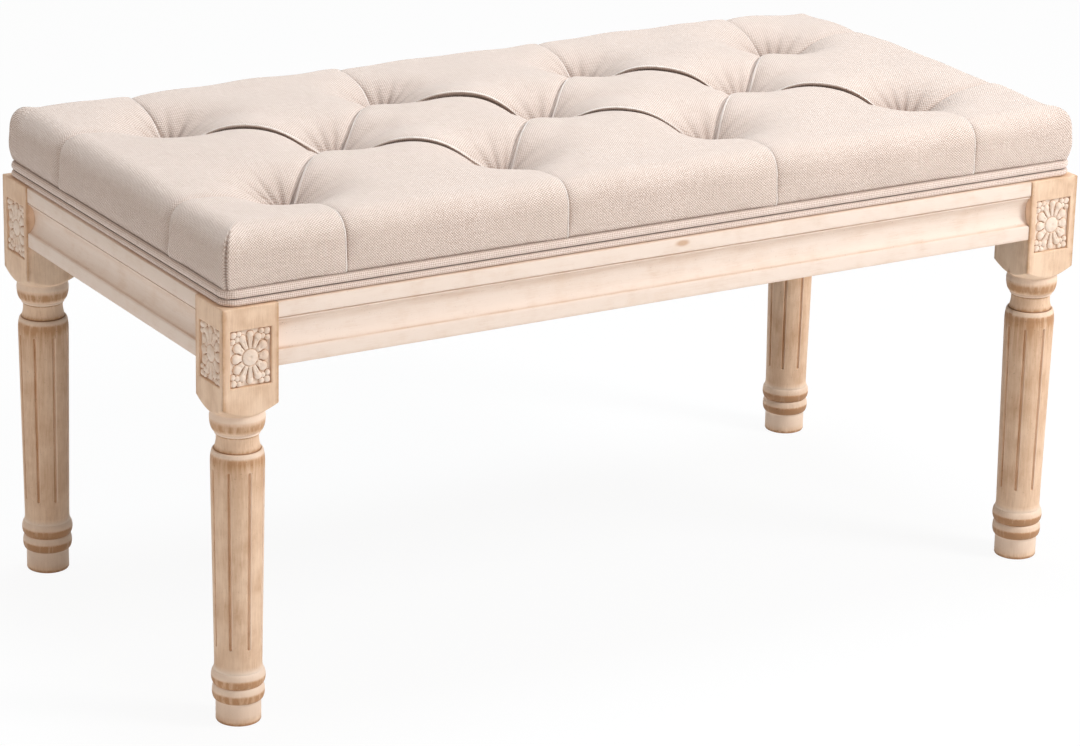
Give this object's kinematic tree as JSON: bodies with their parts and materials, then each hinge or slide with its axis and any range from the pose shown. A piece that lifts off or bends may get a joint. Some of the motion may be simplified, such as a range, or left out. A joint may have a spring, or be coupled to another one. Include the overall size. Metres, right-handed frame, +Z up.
{
  "type": "upholstered bench",
  "caption": "Low rectangular bench with a deep-tufted seat, double welt, coved rails and turned, grooved legs with carved corner blocks.",
  "frame": {"origin": "on the floor, under the middle of the bench", "axes": "+X along the bench's length, -Y towards the front, +Z up"},
  "size_m": [0.85, 0.432, 0.4367],
  "materials": {
    "leg_wood": "limed pale wood, satin, worn to brown on the edges",
    "rail_wood": "whitewashed wood, satin",
    "carved_panel": "carved wood with white wash left in the hollows",
    "inner_wood": "bare sawn wood and plywood",
    "seat_fabric": "coarse plain-woven linen, pale pinkish beige",
    "welt_fabric": "the same linen cut on the bias over cord",
    "foam": "open-cell foam",
    "dust_cloth": "black nonwoven cloth",
    "twine": "waxed twine",
    "steel": "zinc-plated"
  },
  "bodies": {
    "root": {"leg_front_left": "leg_wood", "rosette_front_left_end": "carved_panel", "rosette_front_left_front": "carved_panel", "corner_brace_front_left": "inner_wood", "hanger_bolt_front_left": "steel", "flange_nut_front_left": "steel", "brace_screw_front_left_a": "steel", "brace_screw_front_left_b": "steel", "seat_screw_front_left": "steel", "leg_front_right": "leg_wood", "rosette_front_right_end": "carved_panel", "rosette_front_right_front": "carved_panel", "corner_brace_front_right": "inner_wood", "hanger_bolt_front_right": "steel", "flange_nut_front_right": "steel", "brace_screw_front_right_a": "steel", "brace_screw_front_right_b": "steel", "seat_screw_front_right": "steel", "leg_back_right": "leg_wood", "rosette_back_right_end": "carved_panel", "rosette_back_right_back": "carved_panel", "corner_brace_back_right": "inner_wood", "hanger_bolt_back_right": "steel", "flange_nut_back_right": "steel", "brace_screw_back_right_a": "steel", "brace_screw_back_right_b": "steel", "seat_screw_back_right": "steel", "leg_back_left": "leg_wood", "rosette_back_left_end": "carved_panel", "rosette_back_left_back": "carved_panel", "corner_brace_back_left": "inner_wood", "hanger_bolt_back_left": "steel", "flange_nut_back_left": "steel", "brace_screw_back_left_a": "steel", "brace_screw_back_left_b": "steel", "seat_screw_back_left": "steel", "rail_front": "rail_wood", "rail_back": "rail_wood", "rail_left": "rail_wood", "rail_right": "rail_wood", "seat_board": "inner_wood", "foam_pad": "foam", "tufted_cover": "seat_fabric", "double_welt": "welt_fabric", "dust_cover": "dust_cloth", "tuft_tie_01": "twine", "tuft_tie_02": "twine", "tuft_tie_03": "twine", "tuft_tie_04": "twine", "tuft_tie_05": "twine", "tuft_tie_06": "twine", "tuft_tie_07": "twine", "tuft_tie_08": "twine", "tuft_tie_09": "twine", "tuft_tie_10": "twine", "tuft_tie_11": "twine"}
  },
  "joints": []
}
